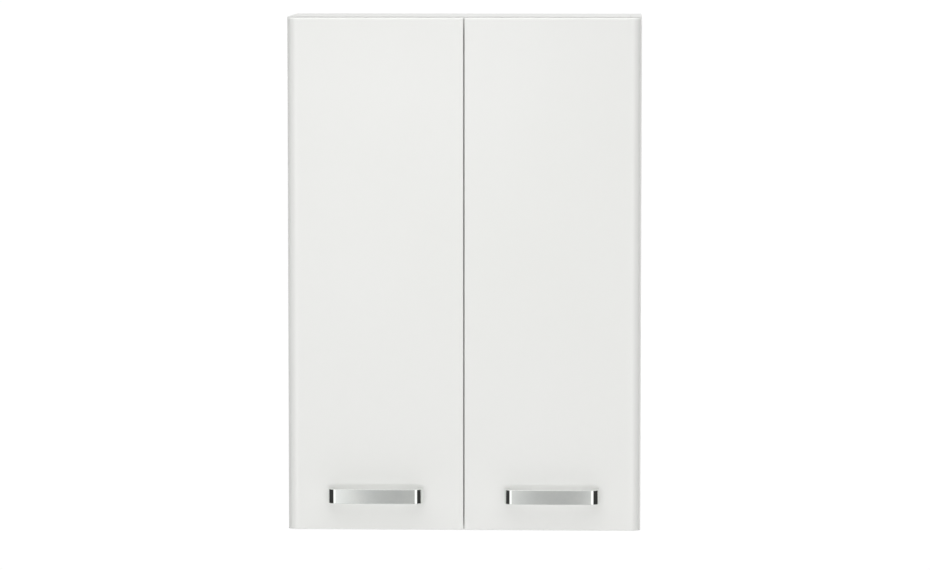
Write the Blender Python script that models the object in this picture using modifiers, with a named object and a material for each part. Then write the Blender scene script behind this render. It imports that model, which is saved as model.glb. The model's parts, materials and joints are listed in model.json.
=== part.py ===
"""Hanging wall cabinet with two doors, built from its separate pieces.

Frame: +Z up, the front faces -Y, the wall is the plane y = 0, and the origin
is the centre of the wall rail's rear face. All sizes are in millimetres here
and are scaled to metres when a mesh is made.
"""

import math

import bmesh
import bpy
from mathutils import Matrix, Vector

MM = 0.001

# ---------------------------------------------------------------- dimensions
WIDTH = 500.0            # over the side panels
HEIGHT = 728.0           # side panels, top to bottom
TOP_Z = 42.0             # the cabinet's top above the rail's centre
BOARD = 16.0             # carcass board
DOOR_BOARD = 18.0        # door board
DOOR_FRONT = -200.0      # front plane of the doors
DOOR_GAP = 2.5           # doors to carcass
GAP = 0.3                # air kept between resting pieces

BOTTOM_Z = TOP_Z - HEIGHT
DOOR_BACK = DOOR_FRONT + DOOR_BOARD
CARCASS_FRONT = DOOR_BACK + DOOR_GAP
SIDE_IN = WIDTH / 2 - BOARD

# doors
DOOR_REVEAL = 1.0        # door shorter than the carcass at top and bottom
DOOR_SIDE = 0.5          # door edge inside the carcass's side
DOOR_MIDDLE = 0.6        # half the gap between the two doors
EDGE_WIDE, EDGE_DEEP = 15.5, 13.0  # soft round of each door's outer edge
EDGE_TOP = 3.0           # round of the top and bottom front edges
EDGE_INNER = 2.0         # round of the edge at the middle

# back panel in its groove
BACK_THICK, BACK_Y = 3.0, -11.0
GROOVE_WIDE, GROOVE_DEEP = 3.8, 6.0

# shelves
SHELF_FRONT, SHELF_REAR, SHELF_HALF = -165.0, -13.2, 233.2
PIN_Y = (-140.0, -40.0)
PIN_PITCH = 32.0

# handles
HANDLE_X = 124.5
HANDLE_Z = BOTTOM_Z + DOOR_REVEAL + 51.1
HANDLE_LONG, HANDLE_HIGH = 134.0, 20.4
HANDLE_OUT = 28.0
STRAP, LEG = 4.0, 8.0
CORNER_OUT, CORNER_IN, BOW = 11.5, 6.0, 1.2
HANDLE_SCREWS = HANDLE_LONG / 2 - LEG / 2

# hinges, drawn in u (inwards from the side's outer face) and
# v (inwards from the carcass's front edge)
HINGE_Z = (TOP_Z - 100.0, BOTTOM_Z + 100.0)
PIVOT_U, PIVOT_V = 6.5, -10.0
CUP_U, CUP_R, CUP_DEEP = 20.5, 17.5, 10.6
TROUGH = 9.8             # the cup's inner depth
PIVOT_X = WIDTH / 2 - PIVOT_U
PIVOT_Y = CARCASS_FRONT + PIVOT_V

# wall rail
RAIL_HALF, RAIL_STEEL = 230.0, 2.0
RAIL_HOLES = (-192.0, -64.0, 64.0, 192.0)

# ------------------------------------------------------------------- set-up
for thing in list(bpy.data.objects):
    bpy.data.objects.remove(thing, do_unlink=True)

PARTS = bpy.data.collections.new("hanging_wall_cabinet")
CUTTERS = bpy.data.collections.new("cutters")
for each in (PARTS, CUTTERS):
    bpy.context.scene.collection.children.link(each)


def material(name, colour, roughness, metallic=0.0, coat=0.0):
    made = bpy.data.materials.new(name)
    made.use_nodes = True
    shader = made.node_tree.nodes["Principled BSDF"]
    shader.inputs["Base Color"].default_value = (*colour, 1.0)
    shader.inputs["Roughness"].default_value = roughness
    shader.inputs["Metallic"].default_value = metallic
    shader.inputs["Coat Weight"].default_value = coat
    made.diffuse_color = (*colour, 1.0)
    return made


DOOR_WHITE = material("door_gloss_white", (0.84, 0.84, 0.82), 0.12, 0.0, 0.6)
BOARD_WHITE = material("carcass_white", (0.82, 0.82, 0.80), 0.42)
BACK_WHITE = material("back_white", (0.78, 0.78, 0.76), 0.5)
CHROME = material("chrome", (0.78, 0.79, 0.80), 0.06, 1.0)
NICKEL = material("nickel_steel", (0.62, 0.61, 0.58), 0.28, 1.0)
ZINC = material("zinc_steel", (0.58, 0.60, 0.62), 0.38, 1.0)
CAST = material("zinc_cast", (0.50, 0.50, 0.51), 0.45, 1.0)
PLASTIC = material("plastic_white", (0.80, 0.80, 0.78), 0.45)
SILICONE = material("silicone_clear", (0.72, 0.74, 0.75), 0.35)


# ----------------------------------------------------------------- builders
def keep(mesh, name, at, paint=None, parent=None):
    """An object for the mesh, whose points are in mm around the point `at`."""
    mesh.transform(scale_to_metres())
    made = bpy.data.objects.new(name, mesh)
    place = Vector(at) * MM
    if paint is None:
        CUTTERS.objects.link(made)
        made.hide_render = True
        made.display_type = "WIRE"
    else:
        PARTS.objects.link(made)
        mesh.materials.append(paint)
    if parent is not None:
        made.parent = parent
        place = place - parent.location
    made.location = place
    return made


def scale_to_metres():
    return Matrix.Scale(MM, 4)


def mesh_of(bm, name):
    bmesh.ops.recalc_face_normals(bm, faces=bm.faces)
    mesh = bpy.data.meshes.new(name)
    bm.to_mesh(mesh)
    bm.free()
    return mesh


def box(name, low, high, paint=None, parent=None):
    """A block between two corners, in mm."""
    low, high = Vector(low), Vector(high)
    for axis in range(3):
        if low[axis] > high[axis]:
            low[axis], high[axis] = high[axis], low[axis]
    bm = bmesh.new()
    bmesh.ops.create_cube(bm, size=1.0)
    bmesh.ops.scale(bm, vec=high - low, verts=bm.verts)
    return keep(mesh_of(bm, name), name, (low + high) / 2, paint, parent)


def rod(name, start, end, radius, sides, paint=None, parent=None, radius_end=None):
    """A round bar or a cone between two points, in mm."""
    start, end = Vector(start), Vector(end)
    bm = bmesh.new()
    bmesh.ops.create_cone(
        bm, cap_ends=True, cap_tris=False, segments=sides,
        radius1=radius, radius2=radius if radius_end is None else radius_end,
        depth=(end - start).length,
    )
    turn = (end - start).to_track_quat("Z", "Y").to_matrix()
    bmesh.ops.rotate(bm, matrix=turn, verts=bm.verts)
    made = keep(mesh_of(bm, name), name, (start + end) / 2, paint, parent)
    made.data.shade_smooth()
    made.data.set_sharp_from_angle(angle=math.radians(40))
    return made


def prism(name, outline, axis, low, high, paint=None, parent=None):
    """A flat outline of (a, b) points, in mm, raised along an axis.

    Along z the points are (x, y), along x they are (y, z).
    """
    bm = bmesh.new()
    corners = []
    for a, b in outline:
        corners.append(bm.verts.new((a, b, low) if axis == "z" else (low, a, b)))
    face = bm.faces.new(corners)
    raised = bmesh.ops.extrude_face_region(bm, geom=[face])
    tops = [v for v in raised["geom"] if isinstance(v, bmesh.types.BMVert)]
    span = high - low
    bmesh.ops.translate(
        bm, verts=tops, vec=(0, 0, span) if axis == "z" else (span, 0, 0)
    )
    return keep(mesh_of(bm, name), name, (0, 0, 0), paint, parent)


def boolean(target, tool, operation="DIFFERENCE"):
    step = target.modifiers.new(operation.lower(), "BOOLEAN")
    step.object = tool
    step.operation = operation
    step.solver = "EXACT"
    return target


def cut_box(target, low, high):
    return boolean(target, box(target.name + "_cut", low, high))


def cut_rod(target, start, end, radius, sides=16):
    return boolean(target, rod(target.name + "_bore", start, end, radius, sides))


def add_box(target, low, high):
    return boolean(target, box(target.name + "_add", low, high), "UNION")


def add_rod(target, start, end, radius, sides=16):
    return boolean(target, rod(target.name + "_add", start, end, radius, sides), "UNION")


def bevel(target, width, segments=1, angle=60.0):
    step = target.modifiers.new("edges", "BEVEL")
    step.width = width * MM
    step.segments = segments
    step.limit_method = "ANGLE"
    step.angle_limit = math.radians(angle)
    return target


def arc(centre, radii, start, end, steps):
    """Points along an ellipse's arc, angles in degrees."""
    points = []
    for i in range(steps + 1):
        at = math.radians(start + (end - start) * i / steps)
        points.append((centre[0] + radii[0] * math.cos(at), centre[1] + radii[1] * math.sin(at)))
    return points


def pivot(name, at):
    made = bpy.data.objects.new(name, None)
    made.empty_display_size = 0.03
    made.location = Vector(at) * MM
    PARTS.objects.link(made)
    return made


# ------------------------------------------------------------------ carcass
SHELF_CLEAR = (HEIGHT - 4 * BOARD) / 3
SHELF_BOTTOMS = {
    "lower": BOTTOM_Z + BOARD + SHELF_CLEAR,
    "upper": BOTTOM_Z + 2 * BOARD + 2 * SHELF_CLEAR,
}
PIN_R, PIN_HOLE_R, PIN_PAD = 2.4, 2.8, 2.5
GROOVE = (BACK_Y - GROOVE_WIDE / 2, BACK_Y + GROOVE_WIDE / 2)
CAM_R, CAM_DEEP, CAM_IN = 7.5, 12.4, 34.0
CAM_Y = (-144.5, -45.0)


def side_panel(name, s):
    """A side with the back's groove and three shelf-pin holes for each support."""
    made = box(name, (s * SIDE_IN, CARCASS_FRONT, BOTTOM_Z),
               (s * WIDTH / 2, 0, TOP_Z), BOARD_WHITE)
    cut_box(made, (s * (SIDE_IN - 3), GROOVE[0], BOTTOM_Z + BOARD - GROOVE_DEEP),
            (s * (SIDE_IN + GROOVE_DEEP), GROOVE[1], TOP_Z - BOARD + GROOVE_DEEP))
    for bottom in SHELF_BOTTOMS.values():
        for y in PIN_Y:
            for step in (-1, 0, 1):
                z = bottom - GAP - PIN_PAD + step * PIN_PITCH
                cut_rod(made, (s * (SIDE_IN - 2), y, z), (s * (SIDE_IN + 9.5), y, z),
                        PIN_HOLE_R, 12)
    return made


side_panel("side_panel_left", -1)
side_panel("side_panel_right", 1)


def level_panel(name, low, high, inner):
    """The top or bottom, between the sides, grooved and bored for its cams."""
    half = SIDE_IN - GAP
    made = box(name, (-half, CARCASS_FRONT, low), (half, 0, high), BOARD_WHITE)
    into = 1 if inner == low else -1
    cut_box(made, (-half - 2, GROOVE[0], inner - 3 * into),
            (half + 2, GROOVE[1], inner + GROOVE_DEEP * into))
    for s in (-1, 1):
        for y in CAM_Y:
            x = s * (SIDE_IN - CAM_IN)
            cut_rod(made, (x, y, inner - 2 * into), (x, y, inner + CAM_DEEP * into),
                    CAM_R + 0.1, 20)
            place = ("left" if s < 0 else "right") + ("_front" if y < -100 else "_rear")
            cam = rod(f"cam_lock_{name.split('_')[0]}_{place}",
                      (x, y, inner + GAP * into), (x, y, inner + (CAM_DEEP - 0.6) * into),
                      CAM_R - 0.3, 20, CAST)
            for wide in ((4.2, 0.7), (0.7, 4.2)):
                cut_box(cam, (x - wide[0], y - wide[1], inner - into),
                        (x + wide[0], y + wide[1], inner + 2.6 * into))
    return made


level_panel("top_panel", TOP_Z - BOARD, TOP_Z, TOP_Z - BOARD)
level_panel("bottom_panel", BOTTOM_Z, BOTTOM_Z + BOARD, BOTTOM_Z + BOARD)

# the hangers' hooks pass through the back here
HOOK_X = (216.0, 233.6)
HOOK_Z = (20.5, 22.9)

back = box(
    "back_panel",
    (-SIDE_IN - GROOVE_DEEP + 0.5, BACK_Y - BACK_THICK / 2, BOTTOM_Z + BOARD - GROOVE_DEEP + 0.5),
    (SIDE_IN + GROOVE_DEEP - 0.5, BACK_Y + BACK_THICK / 2, TOP_Z - BOARD + GROOVE_DEEP - 0.5),
    BACK_WHITE,
)
for s in (-1, 1):
    cut_box(back, (s * (HOOK_X[0] - 2), BACK_Y - 4, HOOK_Z[0] - 2.5),
            (s * (HOOK_X[1] + 0.4), BACK_Y + 4, HOOK_Z[1] + 2.0))

for which, bottom in SHELF_BOTTOMS.items():
    shelf = box(f"{which}_shelf", (-SHELF_HALF, SHELF_FRONT, bottom),
                (SHELF_HALF, SHELF_REAR, bottom + BOARD), BOARD_WHITE)
    bevel(shelf, 0.6)
    for s in (-1, 1):
        for y in PIN_Y:
            z = bottom - GAP - PIN_PAD
            place = ("left" if s < 0 else "right") + ("_front" if y < -100 else "_rear")
            support = box(f"shelf_pin_{which}_{place}", (s * 226.0, y - 5, z - PIN_PAD),
                          (s * (SIDE_IN - GAP), y + 5, z + PIN_PAD), NICKEL)
            add_rod(support, (s * 229.0, y, z), (s * (SIDE_IN + 8.5), y, z), PIN_R, 12)

# -------------------------------------------------------------------- doors
PIVOTS = {
    -1: pivot("door_left_pivot", (-PIVOT_X, PIVOT_Y, (TOP_Z + BOTTOM_Z) / 2)),
    1: pivot("door_right_pivot", (PIVOT_X, PIVOT_Y, (TOP_Z + BOTTOM_Z) / 2)),
}
DOOR_LOW, DOOR_HIGH = BOTTOM_Z + DOOR_REVEAL, TOP_Z - DOOR_REVEAL
CUP_X = WIDTH / 2 - CUP_U


def door(name, s):
    """A door: its plan outline raised, then cut to rounded top and bottom edges."""
    outer, middle = WIDTH / 2 - DOOR_SIDE, DOOR_MIDDLE
    plan = [(middle, DOOR_BACK), (outer, DOOR_BACK)]
    plan += arc((outer - EDGE_WIDE, DOOR_FRONT + EDGE_DEEP), (EDGE_WIDE, EDGE_DEEP), 0, -90, 10)
    plan += arc((middle + EDGE_INNER, DOOR_FRONT + EDGE_INNER), (EDGE_INNER, EDGE_INNER), -90, -180, 3)
    plan = [(s * x, y) for x, y in plan]
    made = prism(name, plan, "z", DOOR_LOW, DOOR_HIGH, DOOR_WHITE, None)
    side = [(DOOR_BACK + 4, DOOR_LOW), (DOOR_BACK + 4, DOOR_HIGH)]
    side += arc((DOOR_FRONT + EDGE_TOP, DOOR_HIGH - EDGE_TOP), (EDGE_TOP, EDGE_TOP), 90, 180, 4)
    side += arc((DOOR_FRONT + EDGE_TOP, DOOR_LOW + EDGE_TOP), (EDGE_TOP, EDGE_TOP), 180, 270, 4)
    low, high = sorted((s * (middle - 3), s * (outer + 3)))
    envelope = prism(name + "_envelope", side, "x", low, high)
    boolean(made, envelope, "INTERSECT")
    for z in HINGE_Z:
        cut_rod(made, (s * CUP_X, DOOR_BACK + 3, z),
                (s * CUP_X, DOOR_BACK - CUP_DEEP - GAP, z), CUP_R + 0.3, 32)
    for step in (-1, 1):
        x = s * HANDLE_X + step * HANDLE_SCREWS
        cut_rod(made, (x, DOOR_BACK + 3, HANDLE_Z), (x, DOOR_FRONT - 3, HANDLE_Z), 2.4, 12)
    made.parent = PIVOTS[s]
    made.location = -PIVOTS[s].location
    return made


door("door_left", -1)
door("door_right", 1)


# ------------------------------------------------------------------ handles
def handle(name, s):
    """A flat strap bent to a bow, with thicker legs that take the screws."""
    half, root = HANDLE_LONG / 2, DOOR_FRONT - GAP
    tip = DOOR_FRONT - HANDLE_OUT

    def bow(x, base):
        """The front's y at x, gently curved between the corners."""
        reach = half - CORNER_OUT
        return base - BOW * (1 - min(1.0, (x / reach) ** 2))

    flat = tip + BOW
    right = [(half, root)] + arc((half - CORNER_OUT, flat + CORNER_OUT),
                                 (CORNER_OUT, CORNER_OUT), 0, -90, 7)
    reach = half - CORNER_OUT
    middle = [(x, bow(x, flat)) for x in (reach * k / 5 for k in range(4, -5, -1))]
    left = [(-x, y) for x, y in reversed(right)]
    outside = right + middle + left
    inner, flat_in = half - LEG, flat + STRAP
    turn = arc((inner - CORNER_IN, flat_in + CORNER_IN), (CORNER_IN, CORNER_IN), 0, -90, 5)
    reach_in = inner - CORNER_IN
    across = [(x, flat_in - BOW * (1 - (x / reach_in) ** 2))
              for x in (reach_in * k / 5 for k in range(-4, 5))]
    inside = [(-inner, root)] + [(-x, y) for x, y in turn] + across
    inside += list(reversed(turn)) + [(inner, root)]
    outline = [(s * HANDLE_X + x, y) for x, y in outside + inside]
    made = prism(name, outline, "z", HANDLE_Z - HANDLE_HIGH / 2,
                 HANDLE_Z + HANDLE_HIGH / 2, CHROME)
    bevel(made, 0.9, 2)
    for step in (-1, 1):
        x = s * HANDLE_X + step * HANDLE_SCREWS
        cut_rod(made, (x, DOOR_FRONT + 3, HANDLE_Z), (x, DOOR_FRONT - 12.5, HANDLE_Z), 2.35, 12)
        side = "outer" if step * s > 0 else "inner"
        screw = rod(f"handle_screw_{name.split('_')[1]}_{side}",
                    (x, DOOR_BACK + GAP, HANDLE_Z), (x, DOOR_BACK + GAP + 2.6, HANDLE_Z),
                    4.0, 20, ZINC, PIVOTS[s], 3.1)
        add_rod(screw, (x, DOOR_BACK + GAP + 1.5, HANDLE_Z), (x, DOOR_FRONT - 10, HANDLE_Z), 2.0, 12)
        for wide in ((2.2, 0.45), (0.45, 2.2)):
            cut_box(screw, (x - wide[0], DOOR_BACK + GAP + 1.2, HANDLE_Z - wide[1]),
                    (x + wide[0], DOOR_BACK + GAP + 4, HANDLE_Z + wide[1]))
    made.parent = PIVOTS[s]
    made.location = -PIVOTS[s].location
    return made


handle("handle_left", -1)
handle("handle_right", 1)


# ------------------------------------------------------------------- hinges
def hinge(which, s, z0):
    """A concealed cup hinge: the plate and arm stay on the side, the cup turns."""

    def at(u, v, z=0.0):
        return (s * (WIDTH / 2 - u), CARCASS_FRONT + v, z0 + z)

    back_v = -DOOR_GAP
    top_v = back_v + GAP
    # cup with its flange, trough and pin bore
    cup = rod(f"hinge_cup_{which}", at(CUP_U, top_v + 0.2), at(CUP_U, back_v - CUP_DEEP),
              CUP_R, 32, NICKEL, PIVOTS[s])
    add_rod(cup, at(CUP_U, top_v), at(CUP_U, top_v + 1.2), CUP_R + 1.3, 32)
    add_box(cup, at(14.0, top_v, -26.0), at(31.0, top_v + 1.2, 26.0))
    cut_box(cup, at(-1.0, back_v - 0.3, -24.0), at(5.2, top_v + 4, 24.0))
    cut_box(cup, at(3.9, back_v - TROUGH, -3.4), at(20.0, top_v + 4, 3.4))
    cut_box(cup, at(13.0, back_v - TROUGH, -8.5), at(34.0, top_v + 4, 8.5))
    cut_rod(cup, at(PIVOT_U, PIVOT_V, -13), at(PIVOT_U, PIVOT_V, 13), 1.3, 16)

    rod(f"hinge_pin_{which}", at(PIVOT_U, PIVOT_V, -8.5), at(PIVOT_U, PIVOT_V, 8.5),
        1.0, 16, ZINC, PIVOTS[s])

    # arm: eye on the pin, neck out of the cup, body over the plate
    arm = box(f"hinge_arm_{which}", at(19.3, 8.0, -7.0), at(27.0, 66.0, 7.0), NICKEL)
    bevel(arm, 1.2, 2)
    add_box(arm, at(22.8, PIVOT_V - 1.1, -2.9), at(25.0, 14.0, 2.9))
    add_box(arm, at(PIVOT_U, PIVOT_V - 1.1, -2.9), at(24.0, PIVOT_V + 1.1, 2.9))
    add_rod(arm, at(PIVOT_U, PIVOT_V, -2.9), at(PIVOT_U, PIVOT_V, 2.9), 2.05, 20)
    cut_rod(arm, at(PIVOT_U, PIVOT_V, -6), at(PIVOT_U, PIVOT_V, 6), 1.3, 16)
    cut_rod(arm, at(15.0, 45.0), at(30.0, 45.0), 2.7, 16)

    plate = box(f"hinge_plate_{which}", at(BOARD + GAP, 28.0, -8.0), at(19.0, 62.0, 8.0), NICKEL)
    add_box(plate, at(BOARD + GAP, 38.0, -26.0), at(18.4, 52.0, 26.0))
    bevel(plate, 0.5)
    cut_rod(plate, at(12.0, 45.0), at(22.0, 45.0), 2.7, 16)

    screw = rod(f"hinge_screw_{which}", at(27.3, 45.0), at(29.6, 45.0), 4.0, 20, ZINC, None, 3.4)
    add_rod(screw, at(28.4, 45.0), at(16.7, 45.0), 2.2, 12)
    for wide in ((2.1, 0.45), (0.45, 2.1)):
        cut_box(screw, at(28.4, 45.0 - wide[0], -wide[1]), at(31.0, 45.0 + wide[0], wide[1]))


for s, side in ((-1, "left"), (1, "right")):
    for z, level in zip(HINGE_Z, ("upper", "lower")):
        hinge(f"{side}_{level}", s, z)
    # silicone stops at the door's free corners
    for z, level in ((TOP_Z - BOARD / 2, "upper"), (BOTTOM_Z + BOARD / 2, "lower")):
        x = s * 13.0
        rod(f"door_bumper_{side}_{level}", (x, DOOR_BACK + GAP, z), (x, CARCASS_FRONT - GAP, z),
            4.5, 20, SILICONE, PIVOTS[s], 3.8)

# -------------------------------------------------------- wall rail, hangers
section = [(0, -10), (0, 10), (-4, 10), (-4, 20), (-6, 20), (-6, 8), (-RAIL_STEEL, 8),
           (-RAIL_STEEL, -10)]
rail = prism("wall_rail", section, "x", -RAIL_HALF, RAIL_HALF, ZINC)
for x in RAIL_HOLES:
    cut_rod(rail, (x, 3, -1), (x, -5, -1), 2.75, 16)

for s, side in ((-1, "left"), (1, "right")):
    hanger = box(f"hanger_{side}", (s * 231.6, -56, -8), (s * (SIDE_IN - GAP), -14, HOOK_Z[1]), ZINC)
    add_box(hanger, (s * HOOK_X[0], -30, HOOK_Z[0]), (s * HOOK_X[1], -1.2, HOOK_Z[1]))
    add_box(hanger, (s * HOOK_X[0], -3.2, 11.5), (s * HOOK_X[1], -1.2, HOOK_Z[1]))
    cover = box(f"hanger_cover_{side}", (s * 212.0, -60.0, -12.0),
                (s * (SIDE_IN - GAP), -13.0, 25.5), PLASTIC)
    bevel(cover, 1.0, 2)
    cut_box(cover, (s * 213.4, -58.6, -10.6), (s * (SIDE_IN + 5), -8.0, 24.1))
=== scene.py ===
"""Looks for the hanging wall cabinet: finished pieces, materials, light and camera."""
import json
import math

import bmesh
import bpy
from mathutils import Matrix, Vector


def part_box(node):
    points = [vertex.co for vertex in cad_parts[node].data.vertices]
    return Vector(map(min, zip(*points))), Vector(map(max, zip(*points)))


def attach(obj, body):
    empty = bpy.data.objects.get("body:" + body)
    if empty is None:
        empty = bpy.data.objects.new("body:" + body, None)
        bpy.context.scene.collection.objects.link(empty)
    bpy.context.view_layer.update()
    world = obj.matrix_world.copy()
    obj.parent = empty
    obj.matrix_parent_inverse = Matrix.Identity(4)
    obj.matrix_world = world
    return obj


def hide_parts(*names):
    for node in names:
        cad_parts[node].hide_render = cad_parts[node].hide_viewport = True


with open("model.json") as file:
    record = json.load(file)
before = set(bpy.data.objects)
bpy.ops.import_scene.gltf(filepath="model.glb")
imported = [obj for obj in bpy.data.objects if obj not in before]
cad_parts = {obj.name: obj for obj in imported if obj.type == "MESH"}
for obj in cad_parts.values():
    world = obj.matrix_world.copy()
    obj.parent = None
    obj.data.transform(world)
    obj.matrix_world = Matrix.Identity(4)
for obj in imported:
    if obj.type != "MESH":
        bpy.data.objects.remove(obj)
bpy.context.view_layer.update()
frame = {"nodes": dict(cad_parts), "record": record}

NODES = frame["nodes"]
MM = 0.001
BODY = {-1: "door_left_leaf", 1: "door_right_leaf"}
SIDE = {-1: "left", 1: "right"}


# ---------------------------------------------------------------- node tools
class Paint:
    """A material's node tree, with short calls for the nodes that the finishes share."""

    def __init__(self, name):
        self.material = bpy.data.materials.new(name)
        self.material.use_nodes = True
        self.nodes = self.material.node_tree.nodes
        self.links = self.material.node_tree.links
        self.shader = self.nodes["Principled BSDF"]
        self.where = self.nodes.new("ShaderNodeTexCoord").outputs["Object"]

    def set(self, **values):
        for key, value in values.items():
            socket = self.shader.inputs[key.replace("_", " ")]
            socket.default_value = (*value, 1.0) if isinstance(value, tuple) else value
        return self

    def link(self, a, b):
        self.links.new(a, b)

    def stretch(self, scale, source=None):
        made = self.nodes.new("ShaderNodeMapping")
        made.inputs["Scale"].default_value = scale
        self.link(source or self.where, made.inputs["Vector"])
        return made.outputs["Vector"]

    def noise(self, scale, detail=3.0, rough=0.5, source=None):
        made = self.nodes.new("ShaderNodeTexNoise")
        made.inputs["Scale"].default_value = scale
        made.inputs["Detail"].default_value = detail
        made.inputs["Roughness"].default_value = rough
        self.link(source or self.where, made.inputs["Vector"])
        return made.outputs["Fac"]

    def cells(self, scale, source=None, feature="F1"):
        made = self.nodes.new("ShaderNodeTexVoronoi")
        made.feature = feature
        made.inputs["Scale"].default_value = scale
        self.link(source or self.where, made.inputs["Vector"])
        return made.outputs

    def ramp(self, factor, stops, ease="LINEAR"):
        made = self.nodes.new("ShaderNodeValToRGB")
        made.color_ramp.interpolation = ease
        band = made.color_ramp.elements
        while len(band) < len(stops):
            band.new(0.5)
        for stop, (at, colour) in zip(band, stops):
            stop.position = at
            stop.color = (*colour, 1.0) if isinstance(colour, tuple) else (colour,) * 3 + (1.0,)
        self.link(factor, made.inputs["Fac"])
        return made.outputs["Color"]

    def spread(self, factor, low, high):
        made = self.nodes.new("ShaderNodeMapRange")
        made.inputs["To Min"].default_value = low
        made.inputs["To Max"].default_value = high
        self.link(factor, made.inputs["Value"])
        return made.outputs["Result"]

    def maths(self, kind, a, b=None):
        made = self.nodes.new("ShaderNodeMath")
        made.operation = kind
        made.use_clamp = kind in ("MULTIPLY", "ADD")
        for slot, value in ((0, a), (1, b)):
            if value is None:
                continue
            if isinstance(value, (int, float)):
                made.inputs[slot].default_value = value
            else:
                self.link(value, made.inputs[slot])
        return made.outputs["Value"]

    def mix(self, factor, a, b):
        made = self.nodes.new("ShaderNodeMix")
        made.data_type = "RGBA"
        if isinstance(factor, (int, float)):
            made.inputs["Factor"].default_value = factor
        else:
            self.link(factor, made.inputs["Factor"])
        for socket, value in (("A", a), ("B", b)):
            target = [s for s in made.inputs if s.name == socket and s.type == "RGBA"][0]
            if isinstance(value, tuple):
                target.default_value = (*value, 1.0)
            else:
                self.link(value, target)
        return [s for s in made.outputs if s.type == "RGBA"][0]

    def bump(self, height, distance, strength=1.0):
        made = self.nodes.new("ShaderNodeBump")
        made.inputs["Strength"].default_value = strength
        made.inputs["Distance"].default_value = distance
        self.link(height, made.inputs["Height"])
        self.link(made.outputs["Normal"], self.shader.inputs["Normal"])
        return made.outputs["Normal"]

    def colour(self, source):
        self.link(source, self.shader.inputs["Base Color"])

    def roughness(self, source):
        self.link(source, self.shader.inputs["Roughness"])

    def inside(self, low, high):
        """1 inside a block of the object's own space, 0 outside it."""
        split = self.nodes.new("ShaderNodeSeparateXYZ")
        self.link(self.where, split.inputs[0])
        total = None
        for axis in range(3):
            for edge, kind in ((low[axis], "GREATER_THAN"), (high[axis], "LESS_THAN")):
                if edge is None:
                    continue
                step = self.maths(kind, split.outputs[axis], float(edge))
                total = step if total is None else self.maths("MULTIPLY", total, step)
        return total


# ----------------------------------------------------------------- finishes
def gloss_white():
    """High-gloss white foil over MDF: mirror-flat, with a trace of orange peel."""
    p = Paint("door_gloss_white_finish")
    p.set(Metallic=0.0, Coat_Weight=0.2, Coat_Roughness=0.03, Specular_IOR_Level=0.45)
    cloud = p.noise(3.2, 2.0, 0.4)
    fine = p.noise(55.0, 3.0, 0.5)
    tone = p.ramp(cloud, [(0.3, (0.838, 0.842, 0.818)), (0.7, (0.852, 0.854, 0.836))])
    p.colour(p.mix(p.spread(fine, 0.0, 0.12), tone, (0.80, 0.805, 0.79)))
    p.roughness(p.spread(p.noise(9.0, 4.0, 0.6), 0.07, 0.13))
    p.bump(p.noise(140.0, 2.0, 0.5), 0.00001, 0.5)
    return p


def melamine(name="carcass_white_finish", raw=()):
    """Satin white melamine with a fine pearl; the raw chipboard shows where it is cut."""
    p = Paint(name)
    p.set(Metallic=0.0, Specular_IOR_Level=0.45)
    cloud = p.noise(4.0, 2.0, 0.4)
    skin = p.ramp(cloud, [(0.3, (0.80, 0.802, 0.786)), (0.7, (0.822, 0.824, 0.808))])
    pearl = p.noise(900.0, 2.0, 0.6)
    if raw:
        chips = p.cells(420.0, p.stretch((1.0, 1.0, 0.35)))
        tan = p.ramp(chips["Color"], [(0.0, (0.30, 0.19, 0.10)), (0.45, (0.50, 0.36, 0.22)),
                                      (1.0, (0.66, 0.52, 0.35))])
        mask = None
        for low, high in raw:
            one = p.inside(low, high)
            mask = one if mask is None else p.maths("MAXIMUM", mask, one)
        p.colour(p.mix(mask, skin, tan))
        p.roughness(p.maths("ADD", p.spread(p.noise(30.0), 0.36, 0.46), p.maths("MULTIPLY", mask, 0.45)))
        chip_height = p.maths("MULTIPLY", p.maths("MULTIPLY", chips["Distance"], mask), 1.0)
        p.bump(p.maths("ADD", p.maths("MULTIPLY", pearl, 0.12), chip_height), 0.0002, 0.6)
    else:
        p.colour(skin)
        p.roughness(p.spread(p.noise(30.0), 0.36, 0.46))
        p.bump(pearl, 0.00003, 0.5)
    return p


def hardboard():
    """Thin hardboard: lacquered white in front, raw brown fibre behind and at its edges."""
    p = Paint("back_white_finish")
    p.set(Metallic=0.0, Specular_IOR_Level=0.4)
    white = p.ramp(p.noise(5.0, 3.0), [(0.3, (0.775, 0.775, 0.76)), (0.7, (0.80, 0.80, 0.785))])
    weave = p.noise(260.0, 6.0, 0.7)
    felt = p.cells(700.0)
    brown = p.ramp(weave, [(0.2, (0.21, 0.12, 0.06)), (0.55, (0.36, 0.23, 0.13)), (0.85, (0.47, 0.33, 0.20))])
    mask = p.inside((None, -0.0121, None), (None, 1.0, None))
    p.colour(p.mix(mask, white, brown))
    p.roughness(p.maths("ADD", p.spread(weave, 0.42, 0.52), p.maths("MULTIPLY", mask, 0.35)))
    p.bump(p.maths("MULTIPLY", p.maths("ADD", felt["Distance"], weave), p.maths("ADD", mask, 0.08)), 0.0002, 0.5)
    return p


def chrome():
    """Polished chrome with the faintest polishing haze."""
    p = Paint("chrome_finish")
    p.set(Metallic=1.0)
    haze = p.noise(35.0, 4.0, 0.6)
    p.colour(p.ramp(haze, [(0.3, (0.81, 0.835, 0.815)), (0.7, (0.87, 0.89, 0.86))]))
    p.roughness(p.spread(p.noise(18.0, 5.0, 0.65), 0.025, 0.075))
    p.bump(p.noise(60.0, 2.0, 0.4), 0.000006, 0.4)
    return p


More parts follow.
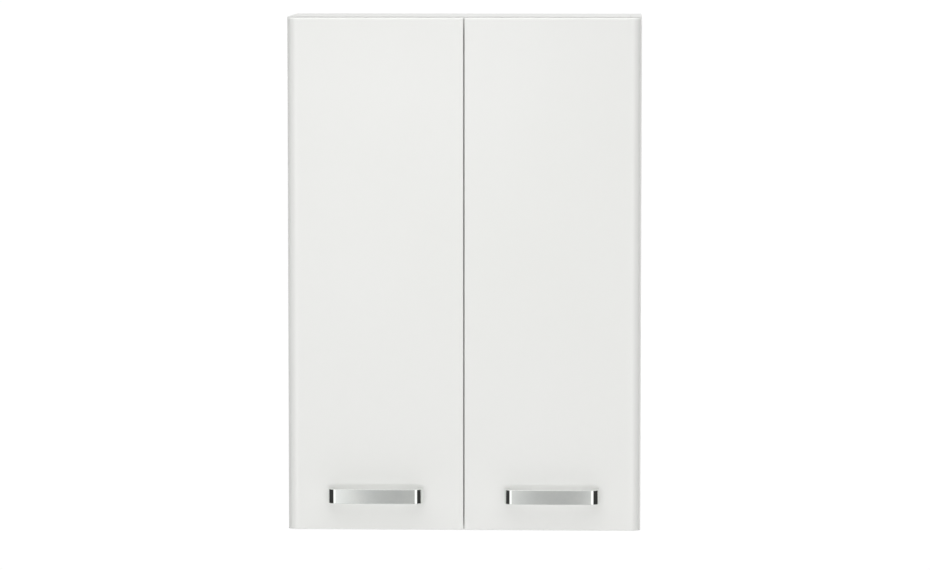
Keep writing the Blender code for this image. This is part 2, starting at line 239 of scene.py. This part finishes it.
def plated(name, dark, light, low, high, grain=(1.0, 1.0, 12.0), relief=0.000015):
    """Plated steel: drawn grain, faint blotches in the plating."""
    p = Paint(name)
    p.set(Metallic=1.0)
    drawn = p.noise(160.0, 4.0, 0.6, p.stretch(grain))
    blotch = p.noise(24.0, 4.0, 0.6)
    tone = p.ramp(blotch, [(0.3, dark), (0.7, light)])
    p.colour(p.mix(p.spread(drawn, 0.0, 0.35), tone, tuple(c * 0.82 for c in dark)))
    p.roughness(p.maths("ADD", p.spread(drawn, low, high), p.maths("MULTIPLY", blotch, 0.06)))
    p.bump(drawn, relief, 0.6)
    return p


def cast_zinc():
    p = Paint("zinc_cast_finish")
    p.set(Metallic=1.0)
    grain = p.noise(520.0, 4.0, 0.7)
    p.colour(p.ramp(grain, [(0.3, (0.36, 0.36, 0.37)), (0.7, (0.52, 0.52, 0.53))]))
    p.roughness(p.spread(p.noise(90.0, 3.0), 0.38, 0.56))
    p.bump(grain, 0.00008, 0.6)
    return p


def plastic():
    p = Paint("plastic_white_finish")
    p.set(Metallic=0.0, Specular_IOR_Level=0.5, Subsurface_Weight=0.08, Subsurface_Scale=0.002)
    p.colour(p.ramp(p.noise(14.0, 3.0), [(0.3, (0.77, 0.77, 0.75)), (0.7, (0.81, 0.81, 0.79))]))
    p.roughness(p.spread(p.noise(120.0, 3.0), 0.38, 0.5))
    p.bump(p.cells(1500.0)["Distance"], 0.00004, 0.5)
    return p


def silicone():
    p = Paint("silicone_clear_finish")
    p.set(Metallic=0.0, Transmission_Weight=0.45, IOR=1.42)
    p.colour(p.ramp(p.noise(180.0, 3.0), [(0.3, (0.78, 0.80, 0.81)), (0.7, (0.86, 0.87, 0.88))]))
    p.roughness(p.spread(p.noise(300.0, 3.0), 0.22, 0.36))
    p.bump(p.noise(900.0, 2.0), 0.00002, 0.5)
    return p


def block(node, inset=0.0006, rear=True):
    """The inside of a board, where a groove, a bore or a rear edge shows its core."""
    low, high = (Vector(c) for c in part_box(node))
    low, high = low + Vector((inset,) * 3), high - Vector((inset,) * 3)
    if rear:
        high.y = 1.0
    return tuple(low), tuple(high)


GLOSS = gloss_white()
CHROME = chrome()
NICKEL = plated("nickel_steel_finish", (0.55, 0.54, 0.515), (0.66, 0.65, 0.62), 0.16, 0.30)
ZINC = plated("zinc_steel_finish", (0.50, 0.53, 0.56), (0.62, 0.635, 0.64), 0.26, 0.42)
CAST = cast_zinc()
PLASTIC = plastic()
SILICONE = silicone()
BACK = hardboard()
BOARDS = {}
for n in ("side_panel_left", "side_panel_right", "top_panel", "bottom_panel"):
    BOARDS[n] = melamine(n + "_finish", raw=(block(n),))
for n in ("upper_shelf", "lower_shelf"):
    BOARDS[n] = melamine(n + "_finish", raw=(((-0.2326, -0.1635, None), (0.2326, 1.0, None)),))
    low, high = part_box(n)
    BOARDS[n] = melamine(n + "_finish", raw=(((None, low[1] + 0.002, low[2] + 0.0007),
                                              (None, 1.0, high[2] - 0.0007)),))


# -------------------------------------------------------------- mesh tools
def add(mesh_data, name, paint, body, nodes, slot_name):
    piece = bpy.data.objects.new(name, mesh_data)
    bpy.context.scene.collection.objects.link(piece)
    piece.data.materials.clear()
    piece.data.materials.append(paint.material)
    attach(piece, body)
    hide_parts(*nodes)
    return piece


def applied(piece):
    """The mesh with its modifiers applied, and the modifiers gone."""
    view = bpy.context.evaluated_depsgraph_get()
    view.update()
    done = bpy.data.meshes.new_from_object(piece.evaluated_get(view), depsgraph=view)
    piece.modifiers.clear()
    old, piece.data = piece.data, done
    bpy.data.meshes.remove(old)
    return piece


def smooth(mesh_data, angle=35.0):
    mesh_data.shade_smooth()
    mesh_data.set_sharp_from_angle(angle=math.radians(angle))


def rounded(node, width, segments=3, angle=38.0):
    """A CAD node's own shape as a finished piece, its edges eased like the real one's."""
    source = NODES[node]
    bm = bmesh.new()
    bm.from_mesh(source.data)
    bmesh.ops.remove_doubles(bm, verts=bm.verts, dist=1e-6)
    bmesh.ops.dissolve_limit(bm, angle_limit=math.radians(0.4), verts=bm.verts, edges=bm.edges)
    mesh_data = bpy.data.meshes.new(node + "_finished")
    bm.to_mesh(mesh_data)
    bm.free()
    piece = bpy.data.objects.new(node + "_finished", mesh_data)
    bpy.context.scene.collection.objects.link(piece)
    step = piece.modifiers.new("ease", "BEVEL")
    step.width = width * MM
    step.segments = segments
    step.limit_method = "ANGLE"
    step.angle_limit = math.radians(angle)
    step.use_clamp_overlap = True
    applied(piece)
    smooth(piece.data, 40.0)
    step = piece.modifiers.new("weigh", "WEIGHTED_NORMAL")
    step.keep_sharp = True
    step.weight = 90
    applied(piece)
    return piece


def finish_node(node, paint, width):
    body = [b for b, members in frame["record"]["behaviour"]["bodies"].items() if node in members][0]
    if width:
        piece = rounded(node, width)
        piece.data.materials.clear()
        piece.data.materials.append(paint.material)
        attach(piece, body)
        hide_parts(node)
        return piece
    shown = NODES[node]
    for slot in shown.material_slots:
        slot.material = paint.material
    smooth(shown.data, 35.0)
    return shown


def tool_rod(start, end, radius, sides=64):
    start, end = Vector(start), Vector(end)
    bm = bmesh.new()
    bmesh.ops.create_cone(bm, cap_ends=True, segments=sides, radius1=radius, radius2=radius,
                          depth=(end - start).length)
    turn = (end - start).to_track_quat("Z", "Y").to_matrix()
    bmesh.ops.rotate(bm, matrix=turn, verts=bm.verts)
    bmesh.ops.translate(bm, vec=(start + end) / 2, verts=bm.verts)
    mesh_data = bpy.data.meshes.new("tool")
    bm.to_mesh(mesh_data)
    bm.free()
    made = bpy.data.objects.new("tool", mesh_data)
    bpy.context.scene.collection.objects.link(made)
    return made


def arc(centre, radii, start, end, steps):
    points = []
    for i in range(steps + 1):
        at = math.radians(start + (end - start) * i / steps)
        points.append((centre[0] + radii[0] * math.cos(at), centre[1] + radii[1] * math.sin(at)))
    return points


# -------------------------------------------------------------------- doors
EDGE_WIDE, EDGE_DEEP, EDGE_TOP, EDGE_INNER = 15.5 * MM, 13 * MM, 3 * MM, 2 * MM


def door(s):
    """The door's plan outline lofted up its height, drawn in at the top and bottom edges."""
    node = f"door_{SIDE[s]}"
    low, high = (Vector(c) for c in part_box(node))
    front, back = low.y, high.y
    thick = back - front
    middle, outer = (low.x, high.x) if s > 0 else (-high.x, -low.x)
    plan = [(middle, back), (middle + (outer - middle) * 0.33, back),
            (middle + (outer - middle) * 0.66, back), (outer, back)]
    plan += [(outer, back + (front + EDGE_DEEP - back) * k) for k in (0.35, 0.7)]
    plan += arc((outer - EDGE_WIDE, front + EDGE_DEEP), (EDGE_WIDE, EDGE_DEEP), 0, -90, 28)
    plan += [(outer - EDGE_WIDE - 3 * MM, front)]
    plan += [(middle + EDGE_INNER + 3 * MM, front)]
    plan += arc((middle + EDGE_INNER, front + EDGE_INNER), (EDGE_INNER, EDGE_INNER), -90, -180, 10)
    plan += [(middle, back - 0.4 * (thick - EDGE_INNER))]
    rows = []
    steps = 10
    for k in range(steps + 1):
        at = math.radians(90 * k / steps)
        rows.append((low.z + EDGE_TOP * (1 - math.sin(at)), EDGE_TOP * (1 - math.cos(at))))
    rows.reverse()
    rows = [(low.z + EDGE_TOP * (1 - math.cos(math.radians(90 * k / steps))),
             EDGE_TOP * (1 - math.sin(math.radians(90 * k / steps)))) for k in range(steps + 1)]
    count = 6
    for k in range(1, count):
        rows.append((low.z + EDGE_TOP + (high.z - low.z - 2 * EDGE_TOP) * k / count, 0.0))
    rows += [(high.z - z0 + low.z, inset) for z0, inset in reversed(rows[: steps + 1])]
    bm = bmesh.new()
    rings = []
    for z, inset in rows:
        squeeze = (thick - inset) / thick
        rings.append([bm.verts.new((s * x, back + (y - back) * squeeze, z)) for x, y in plan])
    n = len(plan)
    for a, b in zip(rings, rings[1:]):
        for i in range(n):
            j = (i + 1) % n
            bm.faces.new((a[i], a[j], b[j], b[i]))
    bm.faces.new(rings[0])
    bm.faces.new(rings[-1])
    bmesh.ops.recalc_face_normals(bm, faces=bm.faces)
    mesh_data = bpy.data.meshes.new(node + "_finished")
    bm.to_mesh(mesh_data)
    bm.free()
    piece = bpy.data.objects.new(node + "_finished", mesh_data)
    bpy.context.scene.collection.objects.link(piece)
    tools = []
    for level in ("upper", "lower"):
        cup_low, cup_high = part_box(f"hinge_cup_{SIDE[s]}_{level}")
        pin_low, pin_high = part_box(f"hinge_pin_{SIDE[s]}_{level}")
        z = (pin_low[2] + pin_high[2]) / 2
        x = s * (0.250 - 0.0205)
        tools.append(tool_rod((x, back + 3 * MM, z), (x, back - 10.9 * MM, z), 17.8 * MM))
    for place in ("inner", "outer"):
        lo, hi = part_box(f"handle_screw_{SIDE[s]}_{place}")
        x, z = (lo[0] + hi[0]) / 2, (lo[2] + hi[2]) / 2
        tools.append(tool_rod((x, back + 3 * MM, z), (x, front - 3 * MM, z), 2.4 * MM, 24))
    for tool in tools:
        step = piece.modifiers.new("bore", "BOOLEAN")
        step.object, step.operation, step.solver = tool, "DIFFERENCE", "EXACT"
    applied(piece)
    for tool in tools:
        bpy.data.objects.remove(tool, do_unlink=True)
    smooth(piece.data, 30.0)
    step = piece.modifiers.new("weigh", "WEIGHTED_NORMAL")
    step.keep_sharp = True
    step.weight = 100
    applied(piece)
    piece.data.materials.clear()
    piece.data.materials.append(GLOSS.material)
    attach(piece, BODY[s])
    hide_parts(node)
    return piece


# ------------------------------------------------------------------ handles
def handle(s):
    """The bow handle: a rounded flat section swept from leg to leg."""
    node = f"handle_{SIDE[s]}"
    low, high = (Vector(c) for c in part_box(node))
    centre_x, root, tip = (low.x + high.x) / 2, high.y, low.y
    half, tall = (high.x - low.x) / 2, (high.z - low.z) / 2
    centre_z = (low.z + high.z) / 2
    strap, leg, corner_out, corner_in, bow = 4 * MM, 8 * MM, 11.5 * MM, 6 * MM, 1.2 * MM
    flat = tip + bow
    flat_in = flat + strap
    inner = half - leg
    pairs = []
    turn = 18
    rise = 5
    for k in range(rise):
        y_out = root + (flat + corner_out - root) * k / rise
        y_in = root + (flat_in + corner_in - root) * k / rise
        pairs.append(((half, y_out), (inner, y_in)))
    out = arc((half - corner_out, flat + corner_out), (corner_out, corner_out), 0, -90, turn)
    into = arc((inner - corner_in, flat_in + corner_in), (corner_in, corner_in), 0, -90, turn)
    pairs += list(zip(out, into))
    reach, reach_in = half - corner_out, inner - corner_in
    across = 24
    for k in range(1, across):
        t = 1 - 2 * k / across
        swell = 1 - t * t
        pairs.append(((reach * t, flat - bow * swell), (reach_in * t, flat_in - bow * swell)))
    pairs += [((-a[0], a[1]), (-b[0], b[1])) for a, b in reversed(pairs[: rise + turn + 1])]
    ease = 0.6 * MM
    bm = bmesh.new()
    rings = []
    for (ax, ay), (bx, by) in pairs:
        a, b = Vector((ax, ay)), Vector((bx, by))
        along = b - a
        deep = along.length
        along.normalize()
        ring = []
        corners = ((ease, tall - ease, 90, 180), (ease, -tall + ease, 180, 270),
                   (deep - ease, -tall + ease, 270, 360), (deep - ease, tall - ease, 0, 90))
        for cu, cz, start, end in corners:
            for k in range(6):
                at = math.radians(start + (end - start) * k / 5)
                u, z = cu + ease * math.cos(at), cz + ease * math.sin(at)
                where = a + along * u
                ring.append(bm.verts.new((centre_x + where.x, where.y, centre_z + z)))
        rings.append(ring)
    n = len(rings[0])
    for p, q in zip(rings, rings[1:]):
        for i in range(n):
            j = (i + 1) % n
            bm.faces.new((p[i], p[j], q[j], q[i]))
    bm.faces.new(rings[0])
    bm.faces.new(rings[-1])
    bmesh.ops.recalc_face_normals(bm, faces=bm.faces)
    mesh_data = bpy.data.meshes.new(node + "_finished")
    bm.to_mesh(mesh_data)
    bm.free()
    piece = bpy.data.objects.new(node + "_finished", mesh_data)
    bpy.context.scene.collection.objects.link(piece)
    tools = []
    for place in ("inner", "outer"):
        lo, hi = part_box(f"handle_screw_{SIDE[s]}_{place}")
        x, z = (lo[0] + hi[0]) / 2, (lo[2] + hi[2]) / 2
        tools.append(tool_rod((x, root + 3 * MM, z), (x, root - 12.2 * MM, z), 2.35 * MM, 32))
    for tool in tools:
        step = piece.modifiers.new("bore", "BOOLEAN")
        step.object, step.operation, step.solver = tool, "DIFFERENCE", "EXACT"
    applied(piece)
    for tool in tools:
        bpy.data.objects.remove(tool, do_unlink=True)
    smooth(piece.data, 45.0)
    step = piece.modifiers.new("weigh", "WEIGHTED_NORMAL")
    step.keep_sharp = True
    step.weight = 100
    applied(piece)
    piece.data.materials.clear()
    piece.data.materials.append(CHROME.material)
    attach(piece, BODY[s])
    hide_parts(node)
    return piece


for s in (-1, 1):
    door(s)
    handle(s)

# ----------------------------------------------------------- other CAD nodes
for node in sorted(NODES):
    if node in ("door_left", "door_right", "handle_left", "handle_right"):
        continue
    if node in BOARDS:
        finish_node(node, BOARDS[node], 0.5)
    elif node == "back_panel":
        finish_node(node, BACK, 0.25)
    elif node.startswith("hinge_pin"):
        finish_node(node, ZINC, 0.2)
    elif node.startswith(("handle_screw", "hinge_screw")):
        finish_node(node, ZINC, 0.18)
    elif node.startswith(("hanger_cover",)):
        finish_node(node, PLASTIC, 0.3)
    elif node.startswith("hanger") or node == "wall_rail":
        finish_node(node, ZINC, 0.35)
    elif node.startswith(("hinge_", "shelf_pin")):
        finish_node(node, NICKEL, 0.3)
    elif node.startswith("cam_lock"):
        finish_node(node, CAST, 0.25)
    elif node.startswith("door_bumper"):
        finish_node(node, SILICONE, 0.3)

# -------------------------------------------------------------- stage, light
scene = bpy.context.scene
scene.view_settings.view_transform = "Standard"
scene.view_settings.look = "None"

bm = bmesh.new()
bmesh.ops.create_cone(bm, cap_ends=True, segments=96, radius1=4.0, radius2=4.0, depth=0.02)
mesh_data = bpy.data.meshes.new("studio_floor")
bm.to_mesh(mesh_data)
bm.free()
floor = bpy.data.objects.new("studio_floor", mesh_data)
floor.location = (0, -0.1, -2.6)
scene.collection.objects.link(floor)
p = Paint("studio_floor_paint")
p.set(Roughness=0.8, Emission_Strength=0.08)
p.shader.inputs["Emission Color"].default_value = (1, 1, 1, 1)
p.colour(p.ramp(p.noise(2.0), [(0.3, (0.59, 0.59, 0.59)), (0.7, (0.61, 0.61, 0.61))]))
floor.data.materials.append(p.material)

# A white studio: bright softboxes a little to each side, dark flags at the sides.
world = bpy.data.worlds.new("studio")
scene.world = world
world.use_nodes = True
tree = world.node_tree
tree.nodes.clear()
out = tree.nodes.new("ShaderNodeOutputWorld")
coord = tree.nodes.new("ShaderNodeTexCoord")
split = tree.nodes.new("ShaderNodeSeparateXYZ")
tree.links.new(coord.outputs["Generated"], split.inputs[0])


def wmath(kind, a, b=None, c=None):
    made = tree.nodes.new("ShaderNodeMath")
    made.operation = kind
    for slot, value in ((0, a), (1, b), (2, c)):
        if value is None:
            continue
        if isinstance(value, (int, float)):
            made.inputs[slot].default_value = value
        else:
            tree.links.new(value, made.inputs[slot])
    return made.outputs[0]


# heading: 0 straight out of the doors (-Y), +1 to the right (+X), -1 to the left
heading = wmath("DIVIDE", wmath("ARCTAN2", split.outputs[0], wmath("MULTIPLY", split.outputs[1], -1.0)), math.pi)
band = tree.nodes.new("ShaderNodeValToRGB")
tree.links.new(wmath("MULTIPLY_ADD", heading, 0.5, 0.5), band.inputs["Fac"])


def level(degrees):
    return 0.5 + degrees / 360.0


FRONT, FLAG, BEHIND, HAZE, OVERHEAD = 1.0, 0.035, 0.60, 0.22, 1.35
STOPS = [
    (0.0, BEHIND), (level(-128), BEHIND), (level(-118), FLAG), (level(-39), FLAG), (level(-34), FRONT),
    (level(-12), FRONT), (level(-8), 0.71), (level(-5.6), 0.55), (level(-3.4), 0.45), (level(-1.6), 0.41),
    (level(2.0), 0.41), (level(3.8), 0.45), (level(6.5), 0.80), (level(9), FRONT), (level(34), FRONT),
    (level(39), FLAG), (level(118), FLAG), (level(128), BEHIND), (1.0, BEHIND),
]
e = band.color_ramp.elements
while len(e) < len(STOPS):
    e.new(0.5)
for stop, (at, value) in zip(e, STOPS):
    stop.position = at
    stop.color = (value, value, value, 1.0)
# the pattern holds near the horizon; overhead and underfoot there is plain soft light
up = wmath("ABSOLUTE", split.outputs[2])


def slope(start, end):
    made = tree.nodes.new("ShaderNodeMapRange")
    made.interpolation_type = "SMOOTHSTEP"
    made.inputs["From Min"].default_value = start
    made.inputs["From Max"].default_value = end
    tree.links.new(up, made.inputs["Value"])
    return made.outputs["Result"]


near = wmath("MULTIPLY", band.outputs["Color"], wmath("SUBTRACT", 1.0, slope(0.15, 0.30)))
haze = wmath("MULTIPLY_ADD", slope(0.15, 0.30), HAZE, near)
total = wmath("MULTIPLY_ADD", slope(0.60, 0.80), OVERHEAD - HAZE, haze)
lit = tree.nodes.new("ShaderNodeBackground")
lit.inputs["Strength"].default_value = 1.25
tree.links.new(total, lit.inputs["Color"])
seen = tree.nodes.new("ShaderNodeBackground")
seen.inputs["Color"].default_value = (1, 1, 1, 1)
seen.inputs["Strength"].default_value = 1.02
path = tree.nodes.new("ShaderNodeLightPath")
choose = tree.nodes.new("ShaderNodeMixShader")
tree.links.new(path.outputs["Is Camera Ray"], choose.inputs["Fac"])
tree.links.new(lit.outputs[0], choose.inputs[1])
tree.links.new(seen.outputs[0], choose.inputs[2])
tree.links.new(choose.outputs[0], out.inputs["Surface"])



def softbox(name, at, aim, size, power, shape="SQUARE"):
    data = bpy.data.lights.new(name, "AREA")
    data.shape = "RECTANGLE"
    data.size, data.size_y = size
    data.energy = power
    lamp = bpy.data.objects.new(name, data)
    scene.collection.objects.link(lamp)
    lamp.location = at
    lamp.rotation_mode = "QUATERNION"
    lamp.rotation_quaternion = (Vector(aim) - Vector(at)).to_track_quat("-Z", "Y")
    return lamp


lamps = [
    softbox("low_fill", (0.1, -8.0, -1.9), (0, -0.1, -0.35), (0.7, 0.7), 66.0),
    softbox("lens_fill", (0.26, -7.07, 0.28), (0, -0.1, -0.3), (0.5, 0.5), 71.0),
    softbox("top_glow", (-0.12, -1.05, 0.0), (-0.02, -0.2, 0.0), (0.4, 0.3), 1.15),
    softbox("rim_left", (-1.5, 1.8, 0.1), (-0.25, -0.1, -0.3), (0.9, 1.2), 30.0),
    softbox("rim_right", (1.5, 1.8, 0.1), (0.25, -0.1, -0.3), (0.9, 1.2), 60.0),
]
for lamp in lamps:
    lamp.visible_glossy = False
    lamp.visible_camera = False

# ------------------------------------------------------------------- camera
TARGET = Vector((-0.0021, -0.100, -0.3045))
DISTANCE, AZIMUTH, ELEVATION, LENS = 6.0, 2.143, 4.761, 161.91
cam_data = bpy.data.cameras.new("camera")
cam = bpy.data.objects.new("camera", cam_data)
scene.collection.objects.link(cam)
az, el = math.radians(AZIMUTH), math.radians(ELEVATION)
backward = Vector((math.sin(az) * math.cos(el), -math.cos(az) * math.cos(el), math.sin(el)))
cam.location = TARGET + backward * DISTANCE
cam.rotation_mode = "QUATERNION"
cam.rotation_quaternion = (-backward).to_track_quat("-Z", "Y")
cam_data.lens = LENS
cam_data.sensor_width = 36.0
cam_data.shift_y = -0.03
cam_data.clip_start, cam_data.clip_end = 0.1, 100.0
scene.camera = cam

bpy.context.view_layer.update()
